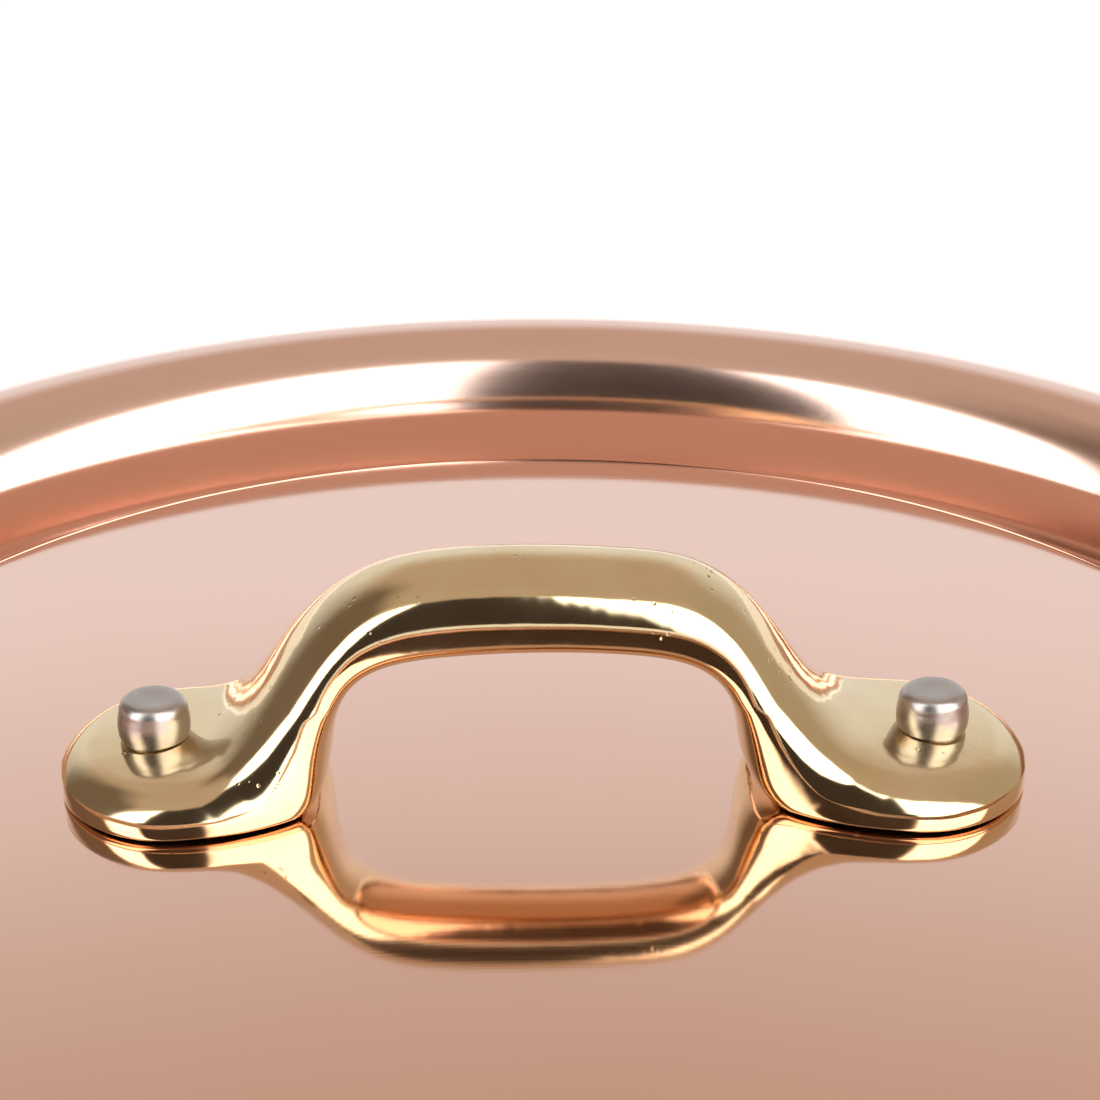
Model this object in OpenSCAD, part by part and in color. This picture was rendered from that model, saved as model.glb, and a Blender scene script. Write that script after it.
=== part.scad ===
// Lidded copper saucepan: bimetal pan, cast long handle, loose lid with a cast loop handle.
// Units are millimetres. Z is up, the base rests on z = 0, the long handle points along +X.

/* [Pan] */
// Inside diameter of the pan
pan_inner_d = 245; // [190:1:310]
// Height of the pan from the base to the rim
pan_h = 135; // [95:1:180]
// Thickness of the copper of the pan
pan_copper_t = 2.1; // [1.2:0.1:3]
// Thickness of the steel lining of the pan
pan_steel_t = 0.4; // [0.3:0.1:0.8]
// Outside radius where the base turns into the wall
pan_corner_r = 11; // [8:0.5:20]

/* [Lid] */
// How far the raised rim stands inside the pan's inside wall
bead_inset = 0.3; // [0.2:0.1:3]
// Radius of the half-round raised rim
lid_bead_r = 9.7; // [7:0.1:12]
// Width from the edge of the domed sheet to the raised rim
groove_w = 14.2; // [12:0.1:20]
// Depth of the groove below the flange
groove_depth = 8.5; // [5:0.5:10]
// Height of the edge of the domed sheet above the flange
disc_rise = 1; // [0:0.1:3]
// Radius of the very shallow dome of the sheet
lid_dome_r = 950; // [700:10:3000]
// Radius of the shoulder where the domed sheet turns down into the groove
shoulder_r = 3.5; // [2.5:0.1:8]
// Slope of the step from the shoulder down to the groove, in degrees
step_slope = 50; // [40:1:65]
// Thickness of the copper of the lid
lid_copper_t = 1.2; // [0.8:0.1:1.6]
// Thickness of the steel lining of the lid
lid_steel_t = 0.4; // [0.3:0.1:0.6]
// Drop of the turned-down edge outside the pan
lid_lip_h = 5; // [3:0.5:10]
// Gap between the lid and the pan's rim
seat_gap = 0.1; // [0.05:0.05:0.3]
// Radial gap between the turned-down edge and the pan
lip_gap = 0.8; // [0.5:0.1:2]
// Height the lid lifts to come clear of the pan
lid_travel = 120; // [60:5:200]

/* [Lid handle] */
// Length of the loop handle over both feet
lid_handle_l = 106; // [87:0.5:130]
// Height of the loop above the sheet
lid_handle_h = 26.4; // [24:0.2:36]
// Length of one foot along the handle
foot_l = 26; // [21:0.5:32]
// Width of one foot across the handle
foot_w = 30; // [24:0.5:36]
// Thickness of a foot at its rivet
foot_t = 5.6; // [4.5:0.1:8]
// Thickness of the bar, up and down
bar_t = 10; // [8:0.5:13]
// Width of the bar, front to back
bar_w = 13.6; // [10:0.2:17]
// Distance of a rivet from the tip of its foot
rivet_edge = 10.4; // [8:0.1:13]

/* [Lid rivets] */
// Diameter of the shank
lid_shank_d = 6; // [4:0.1:7]
// Diameter of the barrel-shaped end above the foot
lid_tail_d = 8; // [7.2:0.1:10]
// Height of the barrel-shaped end above the foot
lid_tail_h = 4.5; // [3:0.1:6]
// Diameter of the flat head inside the lid
lid_head_d = 13; // [9:0.5:16]
// Thickness of the flat head inside the lid
lid_head_t = 1.8; // [1:0.1:3]

/* [Long handle] */
// Reach of the handle from the pan's wall to its end
arm_l = 232; // [180:1:290]
// Rise of the handle in degrees
arm_rise = 11; // [5:1:18]
// Width of the handle where it is slimmest
arm_w = 21; // [16:0.5:30]
// Thickness of the handle where it is slimmest
arm_t = 9; // [7:0.5:13]
// Width of the flat end with the hanging hole
arm_end_w = 31; // [26:0.5:40]
// Thickness of the flat end
arm_end_t = 7.5; // [6:0.5:11]
// Diameter of the hanging hole
hang_d = 14; // [10:0.5:17]
// Drop of the handle's root below the pan's rim
arm_root_drop = 31; // [28:1:40]
// Thickness of the riveted plate
plate_t = 4.5; // [3:0.1:6]

/* [Long handle rivets] */
// Spacing of the two upper rivets round the wall
upper_pitch = 46; // [38:0.5:56]
// Drop from the upper rivets to the lower rivet
rivet_drop = 33; // [27:0.5:40]
// Diameter of the shank
pan_shank_d = 7; // [5:0.1:8]
// Diameter of the barrel-shaped end outside
pan_tail_d = 10; // [9:0.1:12]
// Height of the barrel-shaped end outside
pan_tail_h = 4; // [2.5:0.1:6]
// Diameter of the flat head inside the pan
pan_head_d = 17; // [12:0.5:20]
// Thickness of the flat head inside the pan
pan_head_t = 2; // [1.2:0.1:3]
// Clearance round every shank
shank_gap = 0.05; // [0.02:0.01:0.15]

/* [Hidden] */
// Derived sizes of the pan
r_in = pan_inner_d / 2;
r_mid = r_in + pan_steel_t;
r_out = r_mid + pan_copper_t;
corner_mid = pan_corner_r - pan_copper_t;
corner_in = corner_mid - pan_steel_t;
rim_round = 1;
// Derived sizes of the lid; its local z = 0 is the underside of its flange
lid_t = lid_copper_t + lid_steel_t;
lid_z0 = pan_h + seat_gap;
flange_top = lid_t;
bead_c = r_in - bead_inset - lid_bead_r;
bead_wall = bead_c - lid_bead_r;
// Radius of the domed sheet up to its shoulder
lid_disc_r = bead_wall - groove_w;
lip_r = r_out + lip_gap + lid_t;
lip_round = lid_t + 1;
lid_low = flange_top - lid_lip_h - lid_t;
// Height of the crown of the sheet above its edge
crown = lid_dome_r - sqrt(pow(lid_dome_r, 2) - pow(lid_disc_r, 2));
crown_z = flange_top + disc_rise + crown;
disc_slope = asin(lid_disc_r / lid_dome_r);
groove_z = flange_top - groove_depth;
groove_fillet = 2;
// Centres of the shoulder and of the two fillets of the groove
shoulder_c = [(lid_dome_r - shoulder_r) * sin(disc_slope),
              crown_z - lid_dome_r + (lid_dome_r - shoulder_r) * cos(disc_slope)];
step_top = shoulder_c + shoulder_r * [sin(step_slope), cos(step_slope)];
step_len = (step_top[1] - groove_z - groove_fillet * (1 - cos(step_slope))) / sin(step_slope);
fillet_a = [step_top[0] + step_len * cos(step_slope) + groove_fillet * sin(step_slope),
            groove_z + groove_fillet];
fillet_b = [bead_wall - groove_fillet, groove_z + groove_fillet];
// Derived sizes of the loop handle
hl2 = lid_handle_l / 2;
grip = hl2 - foot_l;
rivet_x = hl2 - rivet_edge;
foot_c = hl2 - foot_l / 2;
foot_side = 2.8;
sink = 1.5;
// Sheet height under a point of the loop handle, taken from the crown
function sag(x, y) = -(x * x + y * y) / (2 * lid_dome_r);
// Derived sizes of the long handle
plate_r = r_out + plate_t;
upper_a = asin(upper_pitch / 2 / r_out);
arm_root_z = pan_h - arm_root_drop;
upper_z = arm_root_z + 10;
lower_z = upper_z - rivet_drop;
plate_lobe = pan_tail_d / 2 + 6.5;
arm_x1 = r_out + arm_l;
arm_x0 = plate_r - 2;
hang_x = arm_x1 - arm_end_w / 2;
// The handle's root swells up to the rivets and stays clear of their barrel-shaped ends
arm_root_clear = 2.5;
arm_root_hw = (upper_pitch - pan_tail_d) / 2;
arm_root_ht = arm_root_z - 2 - arm_root_clear - lower_z - pan_tail_d / 2;

// Smooth curve through a list of values, t counts in list places
function cr(p, t) =
    let (n = len(p) - 1)
    let (i = min(floor(t), n - 1))
    let (f = t - i)
    let (a = p[max(i - 1, 0)])
    let (b = p[i])
    let (c = p[i + 1])
    let (d = p[min(i + 2, n)])
    0.5 * (2 * b + (c - a) * f + (2 * a - 5 * b + 4 * c - d) * f * f
        + (3 * b - a - 3 * c + d) * f * f * f);
function sgnpow(v, e) = sign(v) * pow(abs(v), e);

// Closed skin over a list of rings that all have the same number of points
module skin(rings) {
    nr = len(rings);
    na = len(rings[0]);
    pts = [for (r = rings) for (p = r) p];
    side = [for (i = [0 : nr - 2]) for (j = [0 : na - 1])
        for (k = [0, 1])
            let (a = i * na + j)
            let (b = i * na + (j + 1) % na)
            let (c = (i + 1) * na + (j + 1) % na)
            let (d = (i + 1) * na + j)
            k == 0 ? [a, c, b] : [a, d, c]];
    cap0 = [for (j = [1 : na - 2]) [0, j, j + 1]];
    last = (nr - 1) * na;
    cap1 = [for (j = [1 : na - 2]) [last, last + j + 1, last + j]];
    polyhedron(points = pts, faces = concat(side, cap0, cap1), convexity = 6);
}

// ---------- pan ----------
// Half section of a solid cup with a rounded bottom corner
module cup2d(r, z0, h, c) {
    translate([0, z0]) square([r - c, h]);
    translate([0, z0 + c]) square([r, h - c]);
    translate([r - c, z0 + c]) circle(r = c, $fn = 64);
}
// Holes for the three rivets of the long handle
module pan_rivet_holes(d) {
    for (s = [-1, 1])
        rotate([0, 0, s * upper_a])
            translate([r_in - 20, 0, upper_z]) rotate([0, 90, 0]) cylinder(d = d, h = 60, $fn = 48);
    translate([r_in - 20, 0, lower_z]) rotate([0, 90, 0]) cylinder(d = d, h = 60, $fn = 48);
}
module pan_copper_shell() {
    color([0.72, 0.45, 0.33])
    difference() {
        rotate_extrude($fn = 180) difference() {
            cup2d(r_out, 0, pan_h, pan_corner_r);
            cup2d(r_mid, pan_copper_t, pan_h, corner_mid);
            difference() {
                translate([r_out - rim_round, pan_h - rim_round]) square([2 * rim_round, 2 * rim_round]);
                translate([r_out - rim_round, pan_h - rim_round]) circle(r = rim_round, $fn = 48);
            }
        }
        pan_rivet_holes(pan_shank_d + 2 * shank_gap);
    }
}
module pan_steel_lining() {
    color([0.75, 0.75, 0.74])
    difference() {
        rotate_extrude($fn = 180) difference() {
            cup2d(r_mid, pan_copper_t, pan_h - pan_copper_t, corner_mid);
            cup2d(r_in, pan_copper_t + pan_steel_t, pan_h, corner_in);
        }
        pan_rivet_holes(pan_shank_d + 2 * shank_gap);
    }
}

// ---------- long handle ----------
// Outline of the riveted plate, seen from the handle's end: a round lobe at each rivet
module plate2d() {
    yu = r_out * sin(upper_a);
    g = atan2(rivet_drop, yu) - 90;
    function lobe(c, a0, a1) = [for (k = [0 : 14])
        let (t = a0 + (a1 - a0) * k / 14)
        [c[0] + plate_lobe * cos(t), c[1] + plate_lobe * sin(t)]];
    polygon(concat(lobe([yu, upper_z], g, 90), lobe([-yu, upper_z], 90, 180 - g),
        lobe([0, lower_z], 180 - g, 360 + g)));
}
// Centre height, half width, half thickness and squareness along the arm, u from 0 to 1
function arm_z(u) = arm_root_z - 2 + tan(arm_rise) * u * (arm_x1 - arm_x0);
function root_mix(root, slim, share) = slim + (root - slim) * share;
arm_hw = [arm_root_hw, root_mix(arm_root_hw, arm_w / 2, 0.4), root_mix(arm_root_hw, arm_w / 2, 0.15),
          arm_w / 2, arm_w / 2, arm_w / 2 + 0.6, arm_w / 2 + 1.6, arm_w / 2 + 2.8,
          arm_end_w / 2 - 0.6, arm_end_w / 2];
arm_ht = [arm_root_ht, root_mix(arm_root_ht, arm_t / 2 + 1.3, 0.4), root_mix(arm_root_ht, arm_t / 2 + 1.3, 0.15),
          arm_t / 2 + 1.3, arm_t / 2 + 0.3, arm_t / 2, arm_t / 2, arm_end_t / 2 + 0.3,
          arm_end_t / 2, arm_end_t / 2];
arm_sq = [2.2, 2.3, 2.4, 2.5, 2.6, 2.7, 2.8, 3, 4, 5];
arm_na = 24;
function arm_ring(x, hw, ht, sq) =
    let (u = (x - arm_x0) / (arm_x1 - arm_x0))
    [for (j = [0 : arm_na - 1])
        let (t = 360 * j / arm_na)
        let (yy = hw * sgnpow(cos(t), 2 / sq))
        let (zz = ht * sgnpow(sin(t), 2 / sq))
        [x, yy, arm_z(u) + zz]];
arm_n = 22;
arm_rings = concat(
    [for (i = [0 : arm_n])
        let (u = i / arm_n)
        let (t = 9 * u)
        arm_ring(arm_x0 + (hang_x - arm_x0) * pow(u, 1.25), cr(arm_hw, t), cr(arm_ht, t), cr(arm_sq, t))],
    [for (g = [15, 30, 45, 58, 70, 80, 87])
        arm_ring(hang_x + arm_end_w / 2 * sin(g), arm_end_w / 2 * cos(g),
            arm_end_t / 2 * (0.55 + 0.45 * pow(cos(g), 0.5)), 5)]);
module hang_hole(len) {
    u = (hang_x - arm_x0) / (arm_x1 - arm_x0);
    translate([hang_x, 0, arm_z(u)]) rotate([0, -arm_rise, 0])
        cylinder(d = hang_d, h = len, center = true, $fn = 64);
}
module pan_long_handle() {
    color([0.78, 0.62, 0.34])
    difference() {
        union() {
            intersection() {
                rotate_extrude($fn = 180) translate([r_out, lower_z - 2 * plate_lobe])
                    square([plate_t, rivet_drop + 4 * plate_lobe]);
                translate([r_out / 2, 0, 0]) rotate([90, 0, 90])
                    linear_extrude(height = r_out) plate2d();
            }
            skin(arm_rings);
        }
        pan_rivet_holes(pan_shank_d + 2 * shank_gap);
        hang_hole(60);
    }
}
// One rivet through the wall and the plate: flat head inside, barrel-shaped end outside
module barrel(d, h) {
    // slightly swollen side, rounded shoulder and a flat top
    b = d / 2;
    rotate_extrude($fn = 128) {
        square([b * 0.8, h]);
        intersection() {
            translate([b - 2.2 * h, h * 0.42]) circle(r = 2.2 * h, $fn = 360);
            square([b, h - 0.16 * d]);
        }
        intersection() {
            translate([b - 0.03 * d - 0.16 * d, h - 0.16 * d]) circle(r = 0.16 * d, $fn = 96);
            square([b, h]);
        }
    }
}
module pan_rivet(a, z) {
    color([0.75, 0.75, 0.74])
    rotate([0, 0, a]) {
        translate([r_in - 1, 0, z]) rotate([0, 90, 0])
            cylinder(d = pan_shank_d, h = plate_r - r_in + 2, $fn = 96);
        difference() {
            translate([plate_r - 1.5, 0, z]) rotate([0, 90, 0]) barrel(pan_tail_d, pan_tail_h + 1.5);
            cylinder(r = plate_r, h = 2 * pan_h, $fn = 180);
        }
        intersection() {
            translate([r_in - pan_head_t, 0, z]) rotate([0, 90, 0])
                cylinder(d = pan_head_d, h = pan_head_t + 2, $fn = 64);
            cylinder(r = r_in, h = 2 * pan_h, $fn = 180);
        }
    }
}
module handle_rivet_upper_left() { pan_rivet(-upper_a, upper_z); }
module handle_rivet_upper_right() { pan_rivet(upper_a, upper_z); }
module handle_rivet_lower() { pan_rivet(0, lower_z); }

// ---------- lid ----------
// Everything under the lid's top face, moved in by d; local z = 0 is under the flange
module under2d(d) {
    low = lid_low - 10;
    polygon(concat(
        [[0, low]],
        // domed sheet
        [for (k = [0 : 20])
            let (a = disc_slope * k / 20)
            [(lid_dome_r - d) * sin(a), crown_z - lid_dome_r + (lid_dome_r - d) * cos(a)]],
        // shoulder, step down and groove
        [for (k = [1 : 5])
            let (a = disc_slope + (step_slope - disc_slope) * k / 5)
            shoulder_c + (shoulder_r - d) * [sin(a), cos(a)]],
        [for (k = [4 : -1 : 0])
            let (a = step_slope * k / 4)
            fillet_a - (groove_fillet + d) * [sin(a), cos(a)]],
        [for (a = [0 : 22.5 : 90])
            fillet_b + (groove_fillet + d) * [sin(a), -cos(a)]],
        // half-round raised rim
        [for (a = [180 : -7.5 : 7])
            [bead_c + (lid_bead_r - d) * cos(a), flange_top + (lid_bead_r - d) * sin(a)]],
        // flange and turned-down edge
        [[bead_c + lid_bead_r - d, flange_top - d]],
        [for (a = [90 : -15 : 0])
            [lip_r - lip_round + (lip_round - d) * cos(a), flange_top - lip_round + (lip_round - d) * sin(a)]],
        [[lip_r - d, low]]));
}
module layer2d(d0, d1) {
    difference() {
        intersection() {
            under2d(d0);
            polygon([[0, groove_z - 2 * lid_t], [bead_c, groove_z - 2 * lid_t], [bead_c, lid_low],
                [lip_r + 1, lid_low], [lip_r + 1, 3 * lid_bead_r], [0, 3 * lid_bead_r]]);
        }
        under2d(d1);
    }
}
module at_lid() { translate([0, 0, lid_z0]) children(); }
module lid_rivet_holes(d) {
    for (s = [-1, 1]) translate([s * rivet_x, 0, -40]) cylinder(d = d, h = 80, $fn = 48);
}
module lid_copper_shell() {
    color([0.80, 0.52, 0.40])
    at_lid() difference() {
        rotate_extrude($fn = 180) layer2d(0, lid_copper_t);
        lid_rivet_holes(lid_shank_d + 2 * shank_gap);
    }
}
module lid_steel_lining() {
    color([0.75, 0.75, 0.74])
    at_lid() difference() {
        rotate_extrude($fn = 180) layer2d(lid_copper_t, lid_t);
        lid_rivet_holes(lid_shank_d + 2 * shank_gap);
    }
}

// Outer and inner edge of the loop in its middle plane, from the middle to a foot's centre
hh = lid_handle_h;
hi = lid_handle_h - bar_t;
loop_o = [[0, hh], [0.34 * grip, hh - 0.2], [0.62 * grip, hh - 1.5], [0.84 * grip, hh - 5.6],
          [grip + 1, foot_t + (hh - foot_t) * 0.43], [grip + 5.2, foot_t + 2.8],
          [grip + 8.2, foot_t + 0.7], [foot_c, foot_t]];
loop_i = [[0, hi], [0.34 * grip, hi - 0.4], [0.6 * grip, hi - 1.6], [0.755 * grip, hi - 4],
          [0.835 * grip, hi / 2], [0.87 * grip, hi / 4], [grip, -sink], [foot_c, -sink]];
loop_w = [bar_w / 2, bar_w / 2, bar_w / 2, bar_w / 2 + 0.2, bar_w / 2 + 1.2,
          foot_w / 2 - 2.8, foot_w / 2 - 0.5, foot_w / 2];
// Squareness of the lower half of a ring: round on the bar, square-edged on a foot
loop_q = [2.2, 2.2, 2.2, 2.2, 2.3, 3, 8, 12];
loop_na = 20;
function loop_ring(s, o, i, w, q) =
    let (low = max(i[1], -sink))
    [for (j = [0 : loop_na - 1])
        let (t = 360 * j / loop_na)
        let (e = sin(t) >= 0 ? 2 / 2.2 : 2 / q)
        let (v = sgnpow(sin(t), e))
        let (y = w * sgnpow(cos(t), sin(t) >= 0 ? 2 / 2.2 : 2 / q))
        let (m = [(o[0] + i[0]) / 2, (o[1] + low) / 2])
        let (x = m[0] + (o[0] - i[0]) / 2 * v)
        let (z = m[1] + (o[1] - low) / 2 * v)
        [s * x, y, z + sag(x, y)]];
loop_half = [for (k = [0 : 21])
    let (t = k / 3)
    [cr(loop_o, t), cr(loop_i, t), cr(loop_w, t), cr(loop_q, t)]];
tip_ang = [16, 32, 46, 59, 70, 79, 86];
loop_tip = [for (g = tip_ang)
    let (x = foot_c + foot_l / 2 * sin(g))
    let (zt = foot_side + (foot_t - foot_side) * pow(cos(g), 0.7))
    [[x, zt], [x, -sink], foot_w / 2 * pow(cos(g), 0.9), 12]];
loop_right = concat(loop_half, loop_tip);
nl = len(loop_right);
loop_rings = concat(
    [for (k = [nl - 1 : -1 : 1]) let (a = loop_right[k]) loop_ring(-1, a[0], a[1], a[2], a[3])],
    [for (k = [0 : nl - 1]) let (a = loop_right[k]) loop_ring(1, a[0], a[1], a[2], a[3])]);
module lid_handle() {
    color([0.80, 0.63, 0.33])
    at_lid() difference() {
        translate([0, 0, crown_z]) skin(loop_rings);
        rotate_extrude($fn = 180) under2d(0);
        lid_rivet_holes(lid_shank_d + 2 * shank_gap);
    }
}
// One rivet of the lid: flat head under the lining, barrel-shaped end on the foot
module lid_rivet(s) {
    top = crown_z + sag(rivet_x, 0) + foot_t;
    bot = crown_z + sag(rivet_x, 0) - lid_t;
    color([0.75, 0.75, 0.74])
    at_lid() translate([s * rivet_x, 0, 0]) {
        translate([0, 0, bot - 1]) cylinder(d = lid_shank_d, h = top - bot + 2, $fn = 128);
        translate([0, 0, top]) barrel(lid_tail_d, lid_tail_h);
        intersection() {
            translate([0, 0, bot - lid_head_t]) cylinder(d = lid_head_d, h = lid_head_t + 1, $fn = 128);
            translate([-s * rivet_x, 0, 0]) rotate_extrude($fn = 180) under2d(lid_t);
        }
    }
}
module lid_rivet_left() { lid_rivet(-1); }
module lid_rivet_right() { lid_rivet(1); }

pan_copper_shell();
pan_steel_lining();
pan_long_handle();
handle_rivet_upper_left();
handle_rivet_upper_right();
handle_rivet_lower();
lid_copper_shell();
lid_steel_lining();
lid_handle();
lid_rivet_left();
lid_rivet_right();
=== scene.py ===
import math
import bmesh
import bpy
import numpy as np
from mathutils import Matrix, Vector


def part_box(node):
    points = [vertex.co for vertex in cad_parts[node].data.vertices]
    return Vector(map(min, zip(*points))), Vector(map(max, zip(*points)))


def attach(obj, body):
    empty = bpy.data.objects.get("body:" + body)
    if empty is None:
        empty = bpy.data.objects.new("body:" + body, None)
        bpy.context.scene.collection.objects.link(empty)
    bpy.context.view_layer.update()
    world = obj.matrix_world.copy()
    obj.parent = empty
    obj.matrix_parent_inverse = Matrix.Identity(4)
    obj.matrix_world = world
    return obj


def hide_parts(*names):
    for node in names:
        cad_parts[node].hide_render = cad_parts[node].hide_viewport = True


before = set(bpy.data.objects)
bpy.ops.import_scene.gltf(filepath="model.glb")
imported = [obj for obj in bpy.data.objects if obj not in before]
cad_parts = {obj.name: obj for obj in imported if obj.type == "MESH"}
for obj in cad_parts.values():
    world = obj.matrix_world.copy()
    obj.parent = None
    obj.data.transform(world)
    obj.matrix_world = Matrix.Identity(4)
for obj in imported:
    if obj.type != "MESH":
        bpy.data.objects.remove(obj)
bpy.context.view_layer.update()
MM = 0.001

# ------------------------------------------------------------------ sizes, mm and degrees
# pan
PAN_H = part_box("pan_copper_shell")[1].z / MM
R_IN = 122.5
PAN_STEEL, PAN_COPPER = 0.4, 2.1
R_MID = R_IN + PAN_STEEL
R_OUT = R_MID + PAN_COPPER
CORNER_R = 11.0
PAN_EDGE_R = 1.0
# lid: sheet, flange and turned-down edge, over the lid's own zero under its flange
SEAT_GAP = 0.1
LID_Z = PAN_H + SEAT_GAP
LID_COPPER, LID_STEEL = 1.2, 0.4
LID_T = LID_COPPER + LID_STEEL
FLANGE_Z = LID_T
LIP_GAP, LIP_H = 0.8, 5
LIP_R = R_OUT + LIP_GAP + LID_T
LIP_ROUND = LID_T + 1
LIP_Z = FLANGE_Z - LIP_H - LID_T
# half-round raised rim, and the fillet where it meets the flange
BEAD, BEAD_INSET = 9.7, 0.3
BEAD_C = R_IN - BEAD_INSET - BEAD
BEAD_WALL = BEAD_C - BEAD
BEAD_FILLET, BEAD_TUCK = 1.2, 0.15
# domed sheet inside it, its shoulder, the step down and the groove
DOME, GROOVE_W, GROOVE_D, DISC_RISE = 950.0, 14.2, 8.5, 1.0
SHOULDER, STEP, FILLET = 3.5, 50.0, 2.0
DISC = BEAD_WALL - GROOVE_W
CROWN_Z = FLANGE_Z + DISC_RISE + DOME - math.sqrt(DOME ** 2 - DISC ** 2)
APEX = LID_Z + CROWN_Z         # top of the lid's sheet, over the floor
# loop handle and its feet
HANDLE_L, FOOT_L, FOOT_W = 106.0, 26.0, 30.0
FOOT_T, FOOT_SIDE = 5.6, 2.8   # height of a foot at its rivet and at its edge
FOOT_C = HANDLE_L / 2 - FOOT_L / 2
RIVET_EDGE = 10.4              # from a rivet to the tip of its foot
RIVET_X = HANDLE_L / 2 - RIVET_EDGE
# rivets
LID_RIVET = dict(tail_d=8.0, tail_h=4.5, head_d=13.0, head_t=1.8, shank_d=6.0)
PAN_RIVET = dict(tail_d=10.0, tail_h=4.0, head_d=17.0, head_t=2.0, shank_d=7.0)
# long handle
ARM_L, ARM_RISE, ARM_W, ARM_T = 232.0, 11.0, 21.0, 9.0
END_W, END_T, HANG_D = 31.0, 7.5, 14.0
PLATE_T, PLATE_ROUND = 4.5, 1.2
PLATE_R = R_OUT + PLATE_T
UPPER_PITCH, RIVET_DROP = 46.0, 33
ROOT_DROP, UPPER_RISE = 31, 10
ROOT_Z = PAN_H - ROOT_DROP
UPPER_A = math.asin(UPPER_PITCH / 2 / R_OUT)
UPPER_Z = ROOT_Z + UPPER_RISE
LOWER_Z = UPPER_Z - RIVET_DROP
LOBE_MARGIN = 6.5
LOBE_R = PAN_RIVET["tail_d"] / 2 + LOBE_MARGIN
ROOT_SINK = 2                  # how far the root runs into the plate, and how far its middle is lowered
ARM_X0 = PLATE_R - ROOT_SINK
HANG_X = R_OUT + ARM_L - END_W / 2
ROOT_CLEAR = 2.5               # from the handle's root to the lower rivet's end


# ------------------------------------------------------------------ camera
def aim(azimuth, elevation, distance, turn, tilt, lens):
    """Camera round the lid's apex, turned and tilted off it so that the apex stands low in the picture."""
    a, e = math.radians(azimuth), math.radians(elevation)
    yaw, pitch = math.radians(turn), math.radians(tilt)
    ahead = -Vector((math.sin(a) * math.cos(e), -math.cos(a) * math.cos(e), math.sin(e)))
    place = (Vector((0, 0, APEX)) - ahead * distance) * MM
    right = ahead.cross(Vector((0, 0, 1))).normalized()
    up = right.cross(ahead)
    turned = ahead * math.cos(yaw) - right * math.sin(yaw)
    right = right * math.cos(yaw) + ahead * math.sin(yaw)
    ahead = turned * math.cos(pitch) - up * math.sin(pitch)
    up = up * math.cos(pitch) + turned * math.sin(pitch)
    data = bpy.data.cameras.new("camera")
    data.sensor_width = 36
    data.lens = lens
    data.clip_start, data.clip_end = 0.01, 60
    camera = bpy.data.objects.new("camera", data)
    axes = Matrix((right, up, -ahead)).transposed()
    camera.matrix_world = Matrix.Translation(place) @ axes.to_4x4()
    bpy.context.collection.objects.link(camera)
    bpy.context.scene.camera = camera


# ------------------------------------------------------------------ mesh helpers
def mesh_object(name, verts, faces, mat, sharp=None):
    """Smooth-shaded object; sharp is the angle in degrees above which an edge stays sharp."""
    me = bpy.data.meshes.new(name)
    me.from_pydata([tuple(v) for v in verts], [], faces)
    me.validate()
    me.update()
    me.shade_smooth()
    if sharp is not None:
        me.set_sharp_from_angle(angle=math.radians(sharp))
    ob = bpy.data.objects.new(name, me)
    bpy.context.collection.objects.link(ob)
    me.materials.append(mat)
    return ob


def solid_object(name, verts, faces, mat, sharp=None):
    """The same with its faces turned outwards."""
    ob = mesh_object(name, verts, faces, mat, sharp)
    bm = bmesh.new()
    bm.from_mesh(ob.data)
    bmesh.ops.recalc_face_normals(bm, faces=bm.faces)
    bm.to_mesh(ob.data)
    bm.free()
    return ob


def arc(cx, cz, r, a0, a1, n):
    """Points of an arc, angles in degrees."""
    return [(cx + r * math.cos(math.radians(a0 + (a1 - a0) * k / n)),
             cz + r * math.sin(math.radians(a0 + (a1 - a0) * k / n))) for k in range(n + 1)]


def on_circle(cx, cz, r, lean):
    """Point of a circle, lean in degrees from straight up towards the rim."""
    return cx + r * math.sin(math.radians(lean)), cz + r * math.cos(math.radians(lean))


def sweep(cx, cz, r, lean0, lean1, n):
    """Points of an arc whose angles are leans."""
    return [on_circle(cx, cz, r, lean0 + (lean1 - lean0) * k / n) for k in range(n + 1)]


def revolve(name, prof, mat, seg=256, sharp=30, place=None):
    """Turns a profile of (r, z) in mm about Z. Points with r = 0 become one vertex."""
    verts, rows = [], []
    for r, z in prof:
        if r < 1e-6:
            rows.append([len(verts)])
            verts.append((0, 0, z))
        else:
            rows.append(list(range(len(verts), len(verts) + seg)))
            verts += [(r * math.cos(2 * math.pi * k / seg), r * math.sin(2 * math.pi * k / seg), z)
                      for k in range(seg)]
    faces = []
    for a, b in zip(rows, rows[1:]):
        if len(a) == 1 and len(b) == 1:
            continue
        for k in range(seg):
            k2 = (k + 1) % seg
            if len(a) == 1:
                faces.append((a[0], b[k], b[k2]))
            elif len(b) == 1:
                faces.append((a[k], b[0], a[k2]))
            else:
                faces.append((a[k], b[k], b[k2], a[k2]))
    v = np.array(verts) * MM
    if place is not None:
        v = v @ np.array(place.to_3x3()).T + np.array(place.translation)
    return solid_object(name, v, faces, mat, sharp)


def strip_faces(rows, n):
    """Quads between neighbouring closed rings of n points each."""
    return [(i * n + j, i * n + (j + 1) % n, (i + 1) * n + (j + 1) % n, (i + 1) * n + j)
            for i in range(rows - 1) for j in range(n)]


def skin(name, rings, mat, cap=True):
    """Skin over rings, an array of (ring, point, xyz) in mm."""
    nr, n, _ = rings.shape
    faces = strip_faces(nr, n)
    if cap:
        faces.append(tuple(reversed(range(n))))
        faces.append(tuple(range((nr - 1) * n, nr * n)))
    return solid_object(name, rings.reshape(-1, 3) * MM, faces, mat)


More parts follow.
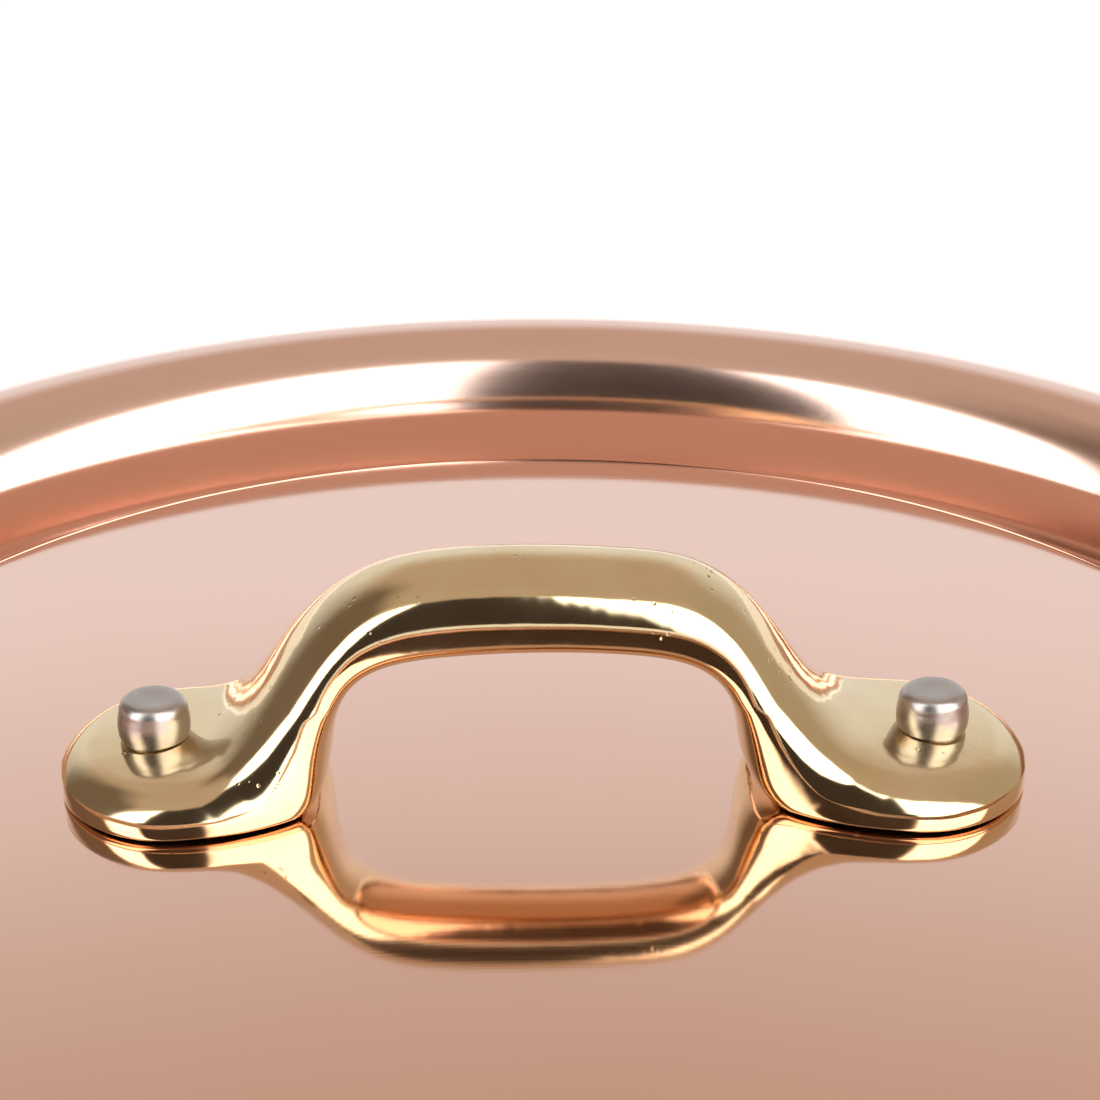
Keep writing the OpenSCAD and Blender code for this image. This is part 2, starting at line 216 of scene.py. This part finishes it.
def spline(vals, t):
    """Natural cubic spline through vals at 0, 1, 2 ..., read at the places t."""
    y = np.array(vals, float)
    n = len(y)
    a = np.zeros((n, n))
    b = np.zeros((n,) + y.shape[1:])
    a[0, 0] = a[-1, -1] = 1
    for i in range(1, n - 1):
        a[i, i - 1:i + 2] = (1, 4, 1)
        b[i] = 6 * (y[i + 1] - 2 * y[i] + y[i - 1])
    m = np.linalg.solve(a, b)
    i = np.clip(np.floor(t).astype(int), 0, n - 2)
    f = t - i
    if y.ndim > 1:
        f = f[:, None]
    return ((1 - f) * y[i] + f * y[i + 1]
            + ((1 - f) ** 3 - (1 - f)) * m[i] / 6 + (f ** 3 - f) * m[i + 1] / 6)


def signed_power(v, power):
    return np.sign(v) * np.abs(v) ** power


# ------------------------------------------------------------------ materials
def new_mat(name):
    m = bpy.data.materials.new(name)
    m.use_nodes = True
    bsdf = next(n for n in m.node_tree.nodes if n.type == "BSDF_PRINCIPLED")
    return m, m.node_tree, bsdf


def node(nt, kind, **props):
    n = nt.nodes.new(kind)
    for k, v in props.items():
        setattr(n, k, v)
    return n


def noise(nt, vec, scale, detail=2.0, rough=0.5):
    n = node(nt, "ShaderNodeTexNoise")
    n.inputs["Scale"].default_value = scale
    n.inputs["Detail"].default_value = detail
    n.inputs["Roughness"].default_value = rough
    nt.links.new(vec, n.inputs["Vector"])
    return n.outputs["Fac"]


def maprange(nt, fac, a0, a1, b0, b1, kind="LINEAR"):
    n = node(nt, "ShaderNodeMapRange", interpolation_type=kind)
    for k, v in zip(("From Min", "From Max", "To Min", "To Max"), (a0, a1, b0, b1)):
        n.inputs[k].default_value = v
    nt.links.new(fac, n.inputs["Value"])
    return n.outputs["Result"]


def math_node(nt, op, a, b=0.0):
    n = node(nt, "ShaderNodeMath", operation=op)
    for s, v in zip(n.inputs, (a, b)):
        if isinstance(v, (int, float)):
            s.default_value = v
        else:
            nt.links.new(v, s)
    return n.outputs[0]


def average(nt, a, b):
    return math_node(nt, "ADD", math_node(nt, "MULTIPLY", a, 0.5), math_node(nt, "MULTIPLY", b, 0.5))


def mix_colour(nt, fac, a, b):
    """Colour a where fac is 0 and b where it is 1; each is a colour or a socket."""
    n = node(nt, "ShaderNodeMix", data_type="RGBA")
    nt.links.new(fac, n.inputs[0])
    for s, v in ((n.inputs[6], a), (n.inputs[7], b)):
        if isinstance(v, tuple):
            s.default_value = (*v, 1)
        else:
            nt.links.new(v, s)
    return n.outputs[2]


def mapping(nt, scale, rot=(0, 0, 0)):
    coord = node(nt, "ShaderNodeTexCoord")
    n = node(nt, "ShaderNodeMapping")
    n.inputs["Scale"].default_value = scale
    n.inputs["Rotation"].default_value = rot
    nt.links.new(coord.outputs["Object"], n.inputs["Vector"])
    return n.outputs["Vector"]


def bump(nt, bsdf, height, strength, dist, prev=None):
    n = node(nt, "ShaderNodeBump")
    n.inputs["Strength"].default_value = strength
    n.inputs["Distance"].default_value = dist
    nt.links.new(height, n.inputs["Height"])
    if prev is not None:
        nt.links.new(prev, n.inputs["Normal"])
    nt.links.new(n.outputs["Normal"], bsdf.inputs["Normal"])
    return n.outputs["Normal"]


def polished_copper(name, tint, tint2, rough0, rough1, brush, rim=None):
    """Polished copper: fine parallel polishing lines along X, faint clouds in tint and gloss.
    rim is the distance from the axis, in metres, beyond which the polish is softer."""
    m, nt, b = new_mat(name)
    b.inputs["Metallic"].default_value = 1.0
    cloud = noise(nt, mapping(nt, (18, 18, 18)), 1.0, 4, 0.6)
    nt.links.new(mix_colour(nt, maprange(nt, cloud, 0.35, 0.7, 0, 1), tint, tint2), b.inputs["Base Color"])
    lines = noise(nt, mapping(nt, (12, 2600, 2600)), 1.0, 3, 0.6)
    rough = maprange(nt, average(nt, cloud, lines), 0.3, 0.7, rough0, rough1)
    if rim:
        dist = node(nt, "ShaderNodeVectorMath", operation="LENGTH")
        nt.links.new(mapping(nt, (1, 1, 0)), dist.inputs[0])
        softer = maprange(nt, dist.outputs["Value"], rim - 0.004, rim, 0, 0.09)
        rough = math_node(nt, "ADD", rough, softer)
    nt.links.new(rough, b.inputs["Roughness"])
    bump(nt, b, lines, brush, 0.00002)
    return m


def cast_brass(name):
    """Cast and polished brass: small casting pits in patches, hairline scratches, faint waves and clouds."""
    m, nt, b = new_mat(name)
    b.inputs["Metallic"].default_value = 1.0
    obj = mapping(nt, (1, 1, 1))
    cloud = noise(nt, obj, 60, 4, 0.6)
    brass = mix_colour(nt, maprange(nt, cloud, 0.35, 0.65, 0, 1), (0.80, 0.62, 0.36), (0.86, 0.70, 0.44))
    # pits
    cells = node(nt, "ShaderNodeTexVoronoi", feature="F1")
    cells.inputs["Scale"].default_value = 900
    nt.links.new(obj, cells.inputs["Vector"])
    patch = noise(nt, obj, 130, 2, 0.5)
    pit = math_node(nt, "MULTIPLY", maprange(nt, cells.outputs["Distance"], 0.10, 0.24, 1, 0),
                    maprange(nt, patch, 0.60, 0.72, 0, 1))
    pitted = mix_colour(nt, math_node(nt, "MULTIPLY", pit, 0.8), brass, (0.16, 0.10, 0.05))
    nt.links.new(pitted, b.inputs["Base Color"])
    polish = maprange(nt, cloud, 0.3, 0.7, 0.06, 0.13)
    rough = math_node(nt, "ADD", polish, math_node(nt, "MULTIPLY", pit, 0.3))
    nt.links.new(rough, b.inputs["Roughness"])
    waves = bump(nt, b, noise(nt, obj, 170, 2, 0.5), 0.25, 0.0003)
    hairlines = noise(nt, mapping(nt, (300, 1400, 500), (0.3, 0.5, 0.9)), 1.0, 2, 0.5)
    scratched = bump(nt, b, hairlines, 0.06, 0.00004, waves)
    bump(nt, b, math_node(nt, "SUBTRACT", 1.0, pit), 0.5, 0.00012, scratched)
    return m


def satin_steel(name, base, rough0, rough1, grain, strength):
    """Satin steel: even fine grain, and longer grain along the axis with the smallest value in grain."""
    m, nt, b = new_mat(name)
    b.inputs["Metallic"].default_value = 1.0
    b.inputs["Base Color"].default_value = (*base, 1)
    even = noise(nt, mapping(nt, (1, 1, 1)), 700, 4, 0.65)
    mixed = average(nt, even, noise(nt, mapping(nt, grain), 1.0, 3, 0.6))
    nt.links.new(maprange(nt, mixed, 0.3, 0.7, rough0, rough1), b.inputs["Roughness"])
    bump(nt, b, mixed, strength, 0.00006)
    return m


def white_floor(name):
    m, _, b = new_mat(name)
    b.inputs["Base Color"].default_value = (0.86, 0.86, 0.86, 1)
    b.inputs["Roughness"].default_value = 0.6
    b.inputs["Specular IOR Level"].default_value = 0.2
    b.inputs["Emission Color"].default_value = (1, 1, 1, 1)
    b.inputs["Emission Strength"].default_value = 0.22
    return m


# ------------------------------------------------------------------ pan
def cup_base(r, z0, c):
    """Outline of a cup's base from its middle to the top of its corner, of radius c."""
    return [(0, z0)] + [((r - c) * k / 6, z0) for k in range(1, 6)] + arc(r - c, z0 + c, c, -90, 0, 20)


def cup_face(r, z0, c):
    """The same with its side, straight up to the rim."""
    side = [(r, z0 + c + (PAN_H - z0 - c) * k / 8) for k in range(1, 9)]
    return cup_base(r, z0, c) + side


def pan_shells():
    """The pan's copper and its steel lining."""
    top = PAN_H - PAN_EDGE_R
    outer = cup_base(R_OUT, 0.0, CORNER_R)
    outer += [(R_OUT, CORNER_R + (top - CORNER_R) * k / 8) for k in range(1, 9)]
    outer += arc(R_OUT - PAN_EDGE_R, top, PAN_EDGE_R, 0, 90, 8)[1:]
    middle = cup_face(R_MID, PAN_COPPER, CORNER_R - PAN_COPPER)
    inner = cup_face(R_IN, PAN_COPPER + PAN_STEEL, CORNER_R - PAN_COPPER - PAN_STEEL)
    return (revolve("pan_copper_body", outer + middle[::-1], PAN_COPPER_MAT),
            revolve("pan_lining_body", middle + inner[::-1], LINING_MAT))


# ------------------------------------------------------------------ lid shells
def lid_face(d):
    """Outline of the lid's top face moved in by d, from the middle to the edge's lower end."""
    slope = math.degrees(math.asin(DISC / DOME))
    dome_z = CROWN_Z - DOME
    shoulder = on_circle(0, dome_z, DOME - SHOULDER, slope)
    step_x, step_z = on_circle(*shoulder, SHOULDER, STEP)
    floor_z = FLANGE_Z - GROOVE_D
    cs, sn = math.cos(math.radians(STEP)), math.sin(math.radians(STEP))
    run = (step_z - floor_z - FILLET * (1 - cs)) / sn
    fillet_x = step_x + run * cs + FILLET * sn
    rim_fillet = BEAD_FILLET + d
    p = sweep(0, dome_z, DOME - d, 0, slope, 60)
    p += sweep(*shoulder, SHOULDER - d, slope, STEP, 16)[1:]
    p += sweep(fillet_x, floor_z + FILLET, -(FILLET + d), STEP, 0, 10)
    p += arc(BEAD_WALL - FILLET, floor_z + FILLET, FILLET + d, -90, 0, 10)
    p += arc(BEAD_C, FLANGE_Z, BEAD - d, 180, 8, 72)
    edge_x = BEAD_C + BEAD - d + rim_fillet - BEAD_TUCK
    p += arc(edge_x, FLANGE_Z - d + rim_fillet, rim_fillet, 188, 270, 6)[1:]
    p += arc(LIP_R - LIP_ROUND, FLANGE_Z - LIP_ROUND, LIP_ROUND - d, 90, 0, 10)
    p += [(LIP_R - d, LIP_Z)]
    return [(r, z + LID_Z) for r, z in p]


def lid_shells():
    """The lid's copper and its steel lining."""
    top, middle, under = (lid_face(d) for d in (0, LID_COPPER, LID_T))
    return (revolve("lid_copper_body", top + middle[::-1], LID_COPPER_MAT, seg=512),
            revolve("lid_lining_body", middle + under[::-1], LINING_MAT))


# ------------------------------------------------------------------ lid handle
# Control points of the loop in its middle plane, from the middle of the arch to a foot's centre,
# for the left (-1) and the right (1) half, which differ a little as in a hand-finished casting:
# outer edge (x, z) and inner edge (x, z)
OUTER = {-1: [(0, 26.3), (9.0, 26.2), (16.4, 25.1), (22.5, 21.8),
              (27.8, 16.0), (32.0, 10.2), (35.6, 6.9), (38.2, 5.8)],
         1: [(0, 26.3), (9.0, 25.8), (16.2, 24.5), (21.8, 20.5),
             (26.2, 14.7), (30.6, 9.2), (35.0, 6.6), (38.2, 5.8)]}
INNER = {-1: [(0, 16.8), (9.0, 16.5), (16.6, 15.5), (21.2, 12.6),
              (22.8, 7.8), (23.4, 3.4), (26.0, 0.0), (32.8, 0.0)],
         1: [(0, 16.8), (8.8, 16.5), (15.4, 15.3), (19.4, 12.3),
             (20.8, 7.8), (21.6, 3.4), (25.2, 0.0), (32.8, 0.0)]}
# for the same eight places: half width, squareness of the section's lower half, tilt of the section
# in degrees, its shift to the back, and 0 to 1 from the arch's section to a foot's
HALF_W = [7.0, 7.0, 7.0, 7.5, 9.6, 12.6, 14.3, 14.9]
LOWER = [2.2, 2.2, 2.2, 2.2, 2.3, 3.5, 7.0, 9.0]
TILT = [10, 10, 10, 9, 5, 0, 0, 0]
BACK = [-1.5, -1.5, -1.5, -1.2, -0.4, 0.2, 0, 0]
FOOT = [0, 0, 0, 0, 0, 0.35, 0.85, 1]
UPPER = 2.2                    # squareness of the section's upper half
EDGE_W = 0.30                  # share of a foot's half width that is rounded off
EDGE_ARC = 0.82                # share of a quarter circle's width that the rounding takes
EDGE_DROP = 0.70               # share of a foot's pillow lost at the rounding, the rest is its crown
LEG_X = 24.0                   # where a leg's inner side stands
NARROWING = 0.30               # share of the width that a foot loses there
NARROW_H = 12.0                # height over the sheet up to which it does


def sag(x, y):
    """Height of the domed sheet under its apex."""
    return -(x * x + y * y) / (2 * DOME)


def half_controls(s):
    """Rows of outer x z, inner x z, half width, place of the widest point, squareness, tilt, shift,
    foot share and how far round the foot's tip, for one half of the loop."""
    rows = [(s * ox, oz, s * ix, iz, w, 0.5, low, tilt, back, foot, 0)
            for (ox, oz), (ix, iz), w, low, tilt, back, foot
            in zip(OUTER[s], INNER[s], HALF_W, LOWER, TILT, BACK, FOOT)]
    for g in range(0, 91, 18):
        c, sn = math.cos(math.radians(g)), math.sin(math.radians(g))
        x = s * (FOOT_C + FOOT_L / 2 * sn)
        rows.append((x, FOOT_T, x, 0.0, FOOT_W / 2 * c, FOOT_SIDE / FOOT_T, LOWER[-1], 0, 0, 1, sn))
    return np.array(rows)


def pillow(t):
    """Height of a foot's top, 1 in the middle and 0 at its edge: slightly crowned, with a round shoulder."""
    u = np.clip((t - 1 + EDGE_W) / EDGE_W, 0, 1)
    drop = (1 - np.sqrt(1 - (EDGE_ARC * u) ** 2)) / (1 - math.sqrt(1 - EDGE_ARC ** 2))
    return 1 - (1 - EDGE_DROP) * t * t - EDGE_DROP * drop


def loop_rings(n_ring, n_pt):
    controls = np.concatenate([half_controls(-1)[:0:-1], half_controls(1)])
    share = np.linspace(0, 1, n_ring)
    # more rings towards the tips
    places = (len(controls) - 1) * (0.65 * share + 0.35 * (0.5 - 0.5 * np.cos(np.pi * share)))
    a = np.linspace(0, 2 * np.pi, n_pt, endpoint=False)
    sn, cs = np.sin(a), np.cos(a)
    rings = np.zeros((n_ring, n_pt, 3))
    for r, row in enumerate(spline(controls, places)):
        ox, oz, ix, iz, w, wide, low, tilt, back, foot, lean = row
        iz, w = max(iz, 0), max(w, 0.02)
        wide, foot, lean = min(max(wide, 0.2), 0.98), min(max(foot, 0), 1), min(max(lean, 0), 1)
        power = 2 / np.where(sn >= 0, UPPER, low)
        v = signed_power(sn, power)
        across = signed_power(cs, foot * np.where(sn >= 0, 1, power) + (1 - foot) * power)
        dist = np.sqrt(lean ** 2 + (1 - lean ** 2) * across ** 2)
        arch_up = np.where(v >= 0, wide + (1 - wide) * v, wide + wide * v)
        foot_up = np.where(v >= 0, wide + (1 - wide) * pillow(dist), wide + wide * v)
        up = (1 - foot) * arch_up + foot * foot_up - 0.5
        size = math.hypot(ox - ix, oz - iz)
        ct, st = math.cos(math.radians(tilt)), math.sin(math.radians(tilt))
        out = up * size * ct + w * across * st
        y = w * across * ct - up * size * st + back
        x = (ox + ix) / 2 + (ox - ix) / size * out
        z = (oz + iz) / 2 + (oz - iz) / size * out
        # the foot's outline is round towards the arch as well
        inward = np.clip((FOOT_C - np.abs(x)) / (FOOT_C - LEG_X), 0, 1.2)
        y = y * (1 - NARROWING * inward ** 2 * np.clip(1 - z / NARROW_H, 0, 1))
        rings[r] = np.stack([x, y, z + sag(x, y) + APEX], axis=1)
    return rings


def lid_handle():
    n_ring, n_pt = ((360, 128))
    return skin("lid_handle_body", loop_rings(n_ring, n_pt), BRASS_MAT, cap=False)


# ------------------------------------------------------------------ rivets
def tail_profile(d, h, n=14):
    """Small gap at the foot, swollen side, wide round shoulder and a slightly dished top."""
    b = d / 2
    swell, place = 0.04, 0.95      # how much the side swells, and where it is widest
    side_h = h * 0.66
    side_r = b * (1 - swell * (2 - place) ** 2)
    p = [(b * 0.86, -0.6), (b * 0.86, 0.12), (b * (1 - swell) - 0.12, 0.14)]
    p += [(b * (1 - swell * (2 * k / n - place) ** 2), 0.22 + (side_h - 0.22) * k / n) for k in range(n + 1)]
    p += [(side_r - 0.27 * b * (1 - math.cos(math.radians(t))),
           side_h + (h - side_h) * math.sin(math.radians(t))) for t in (10, 20, 30, 40, 50, 60, 70, 79)]
    top_r = p[-1][0]
    return p + [(top_r * 0.96, h), (top_r * 0.6, h - 0.05), (top_r * 0.3, h - 0.07), (0, h - 0.08)]


def rivet(name, grip, place, tail_d, tail_h, head_d, head_t, shank_d):
    """Head below, shank, barrel-shaped end above; local zero is where the barrel-shaped end stands."""
    hr = head_d / 2
    p = [(0, -grip - head_t)] + [(hr * 0.86 * k / 5, -grip - head_t) for k in range(1, 6)]
    p += [(hr - 0.14 * hr * (1 - math.sin(math.radians(t))),
           -grip - head_t * 0.45 - head_t * 0.55 * math.cos(math.radians(t))) for t in (15, 35, 55, 75, 90)]
    p += [(hr, -grip), (shank_d / 2, -grip), (shank_d / 2, -0.6)]
    return revolve(name, p + tail_profile(tail_d, tail_h), RIVET_MAT, seg=96, sharp=40, place=place)


def lid_rivet(side, s):
    foot_top = APEX + sag(RIVET_X, 0) + FOOT_T
    place = Matrix.Translation(Vector((s * RIVET_X, 0, foot_top)) * MM)
    return rivet("lid_rivet_%s_body" % side, FOOT_T + LID_T, place, **LID_RIVET)


def pan_rivet(where, angle, z):
    place = (Matrix.Rotation(angle, 4, "Z") @ Matrix.Translation(Vector((PLATE_R, 0, z)) * MM)
             @ Matrix.Rotation(math.radians(90), 4, "Y"))
    return rivet("handle_rivet_%s_body" % where, PLATE_R - R_IN, place, **PAN_RIVET)


# ------------------------------------------------------------------ long handle
def arm_z(x):
    """Height of the arm's middle line."""
    return ROOT_Z - ROOT_SINK + math.tan(math.radians(ARM_RISE)) * (x - ARM_X0)


def arm_sections():
    """Place, half width, half thickness and squareness of each ring from the root to the tip."""
    root_w = (UPPER_PITCH - PAN_RIVET["tail_d"]) / 2
    root_t = ROOT_Z - ROOT_SINK - ROOT_CLEAR - LOWER_Z - PAN_RIVET["tail_d"] / 2
    half, slim = ARM_W / 2, ARM_T / 2 + 1.3
    widths = [root_w, root_w * 0.4 + half * 0.6, root_w * 0.15 + half * 0.85, half, half,
              half + 0.6, half + 1.6, half + 2.8, END_W / 2 - 0.6, END_W / 2]
    heights = [root_t, root_t * 0.4 + slim * 0.6, root_t * 0.15 + slim * 0.85, slim, ARM_T / 2 + 0.3,
               ARM_T / 2, ARM_T / 2, END_T / 2 + 0.3, END_T / 2, END_T / 2]
    squareness = [2.2, 2.3, 2.4, 2.5, 2.6, 2.7, 2.8, 3, 4, 5]
    n_arm, n_tip = ((140, 40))
    u = np.arange(n_arm + 1) / n_arm
    along = [spline(v, (len(v) - 1) * u) for v in (widths, heights, squareness)]
    sections = list(zip(ARM_X0 + (HANG_X - ARM_X0) * u ** 1.25, *along))
    for k in range(1, n_tip + 1):
        g = math.radians(90 * k / n_tip)
        c = max(math.cos(g), 0.004)
        sections.append((HANG_X + END_W / 2 * math.sin(g), END_W / 2 * c,
                         END_T / 2 * (0.55 + 0.45 * c ** 0.5), squareness[-1]))
    return sections


def long_handle_arm():
    """The cast arm with its hanging hole."""
    sections = arm_sections()
    a = 2 * np.pi * np.arange(64) / 64
    rings = np.zeros((len(sections), len(a), 3))
    for r, (x, half_w, half_t, squareness) in enumerate(sections):
        rings[r, :, 0] = x
        rings[r, :, 1] = half_w * signed_power(np.cos(a), 2 / squareness)
        rings[r, :, 2] = arm_z(x) + half_t * signed_power(np.sin(a), 2 / squareness)
    body = skin("long_handle_arm", rings, BRASS_MAT)
    place = (Matrix.Translation(Vector((HANG_X, 0, arm_z(HANG_X))) * MM)
             @ Matrix.Rotation(-math.radians(ARM_RISE), 4, "Y"))
    pin = [(0, -20), (HANG_D / 2, -20), (HANG_D / 2, 20), (0, 20)]
    cut = revolve("hang_cut", pin, BRASS_MAT, seg=96, place=place)
    hole = body.modifiers.new("hole", "BOOLEAN")
    hole.operation, hole.solver, hole.object = "DIFFERENCE", "EXACT", cut
    bpy.context.view_layer.objects.active = body
    bpy.ops.object.modifier_apply(modifier="hole")
    bpy.data.objects.remove(cut)
    return body


def plate_outline(grow):
    """Round lobe at each of the three rivets, as (way round the wall, height)."""
    half = UPPER_PITCH / 2
    g = math.degrees(math.atan2(UPPER_Z - LOWER_Z, half)) - 90
    lobes = ((half, UPPER_Z, g, 90), (-half, UPPER_Z, 90, 180 - g), (0, LOWER_Z, 180 - g, 360 + g))
    return [p for cx, cz, a0, a1 in lobes for p in arc(cx, cz, LOBE_R + grow, a0, a1, 16)]


def long_handle_plate():
    """Plate wrapped round the wall, with a rounded edge; rings towards its middle keep its face round."""
    flat = PLATE_T - PLATE_ROUND
    rows = [(plate_outline(0.0), 0.0), (plate_outline(0.0), flat)]
    for t in (20, 40, 60, 80, 90):
        c, s = math.cos(math.radians(t)), math.sin(math.radians(t))
        rows.append((plate_outline(-PLATE_ROUND * (1 - c)), flat + PLATE_ROUND * s))
    middle = (2 * UPPER_Z + LOWER_Z) / 3
    for f in (0.85, 0.65, 0.45, 0.25, 0.1):
        rows.append(([(y * f, middle + (z - middle) * f) for y, z in plate_outline(-PLATE_ROUND)], PLATE_T))
    verts = [((R_OUT + h) * math.cos(y / R_OUT) * MM, (R_OUT + h) * math.sin(y / R_OUT) * MM, z * MM)
             for outline, h in rows for y, z in outline]
    n = len(rows[0][0])
    faces = strip_faces(len(rows), n) + [tuple((len(rows) - 1) * n + j for j in range(n))]
    return solid_object("long_handle_plate", verts, faces, BRASS_MAT, sharp=50)


# ------------------------------------------------------------------ floor and light
def lay_floor():
    s = 12.0
    corners = [(-s, -s, 0), (s, -s, 0), (s, s, 0), (-s, s, 0)]
    mesh_object("floor", corners, [(0, 1, 2, 3)], white_floor("floor_white"))


def light_tent():
    """A white tent: pale sweep behind, dim warm top, bright panels on both sides of the camera with a
    dark gap between them, and darker open sides. The camera itself sees plain white."""
    world = bpy.data.worlds.new("studio")
    bpy.context.scene.world = world
    world.use_nodes = True
    nt = world.node_tree
    nt.nodes.clear()
    out = node(nt, "ShaderNodeOutputWorld")
    light = node(nt, "ShaderNodeBackground")
    coord = node(nt, "ShaderNodeTexCoord")
    split = node(nt, "ShaderNodeSeparateXYZ")
    nt.links.new(coord.outputs["Generated"], split.inputs[0])
    x, y, z = split.outputs

    def calc(op, a, b=0.0):
        return math_node(nt, op, a, b)

    def step(v, lo, hi):
        return maprange(nt, v, lo, hi, 0, 1, "SMOOTHSTEP")

    def without(share):
        return calc("SUBTRACT", 1.0, share)

    def between(v, lo0, lo1, hi0, hi1):
        return calc("MULTIPLY", step(v, lo0, lo1), without(step(v, hi0, hi1)))

    def mix(fac, a, b):
        return mix_colour(nt, fac, a, b)

    degrees = math.degrees(1)
    front = calc("MULTIPLY", y, -1.0)
    elev = calc("MULTIPLY", calc("ARCSINE", z), degrees)
    # 0 in front, + to the right, and its mirror image
    right = calc("MULTIPLY", calc("ARCTAN2", x, front), degrees)
    left = calc("MULTIPLY", right, -1.0)
    # from the front horizon over the top to the back
    over = calc("MULTIPLY", calc("ARCTAN2", z, front), degrees)
    sweep_light = mix(step(elev, 18, 44), (0.86, 0.86, 0.88), (0.56, 0.445, 0.365))
    top = mix(step(over, 84, 98), (0.57, 0.465, 0.385), sweep_light)
    panels = mix(between(right, -44, -38, 8, 13), (3.2, 3.2, 3.2), (0.055, 0.042, 0.034))
    tent = mix(step(over, 71, 76), panels, top)
    low = without(step(elev, 48, 72))
    tent = mix(calc("MULTIPLY", between(left, 72, 80, 125, 155), low), tent, (0.20, 0.15, 0.115))
    tent = mix(calc("MULTIPLY", between(right, 76, 84, 125, 155), low), tent, (0.50, 0.42, 0.34))
    tent = mix(step(elev, -2, 1), (0.6, 0.56, 0.52), tent)
    rays = node(nt, "ShaderNodeLightPath")
    seen = mix(rays.outputs["Is Camera Ray"], tent, (1.0, 1.0, 1.0))
    nt.links.new(seen, light.inputs["Color"])
    light.inputs["Strength"].default_value = 1.0
    nt.links.new(light.outputs[0], out.inputs[0])


# ------------------------------------------------------------------ build
LID_COPPER_MAT = polished_copper("lid_copper_polished", (0.935, 0.655, 0.545), (0.945, 0.675, 0.57),
                                 0.05, 0.09, 0.06, rim=BEAD_WALL * MM)
PAN_COPPER_MAT = polished_copper("pan_copper_polished", (0.90, 0.56, 0.43), (0.93, 0.60, 0.47),
                                 0.09, 0.16, 0.10)
BRASS_MAT = cast_brass("cast_brass_polished")
RIVET_MAT = satin_steel("rivet_steel_satin", (0.52, 0.485, 0.46), 0.24, 0.42, (500, 500, 2500), 0.4)
LINING_MAT = satin_steel("steel_lining_satin", (0.60, 0.59, 0.575), 0.22, 0.32, (20, 20, 2200), 0.12)

aim(azimuth=-1.4, elevation=28.9, distance=495.6, turn=-0.0764, tilt=-2.7582, lens=147.27)
pan_copper, pan_lining = pan_shells()
lid_copper, lid_lining = lid_shells()
PIECES = [
    (pan_copper, "pan", "pan_copper", "pan_copper_shell"),
    (pan_lining, "pan", "steel_lining", "pan_steel_lining"),
    (lid_copper, "lid", "lid_copper", "lid_copper_shell"),
    (lid_lining, "lid", "steel_lining", "lid_steel_lining"),
    (lid_handle(), "lid", "cast_brass", "lid_handle"),
    (lid_rivet("left", -1), "lid", "rivet_steel", "lid_rivet_left"),
    (lid_rivet("right", 1), "lid", "rivet_steel", "lid_rivet_right"),
    (long_handle_arm(), "pan", "cast_brass", "pan_long_handle"),
    (long_handle_plate(), "pan", "cast_brass", None),
    (pan_rivet("upper_left", -UPPER_A, UPPER_Z), "pan", "rivet_steel", "handle_rivet_upper_left"),
    (pan_rivet("upper_right", UPPER_A, UPPER_Z), "pan", "rivet_steel", "handle_rivet_upper_right"),
    (pan_rivet("lower", 0.0, LOWER_Z), "pan", "rivet_steel", "handle_rivet_lower")]
for piece, body, slot_name, cad_node in PIECES:
    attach(piece, body)
    if cad_node:
        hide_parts(cad_node)
lay_floor()
light_tent()
bpy.context.scene.view_settings.view_transform = "Standard"
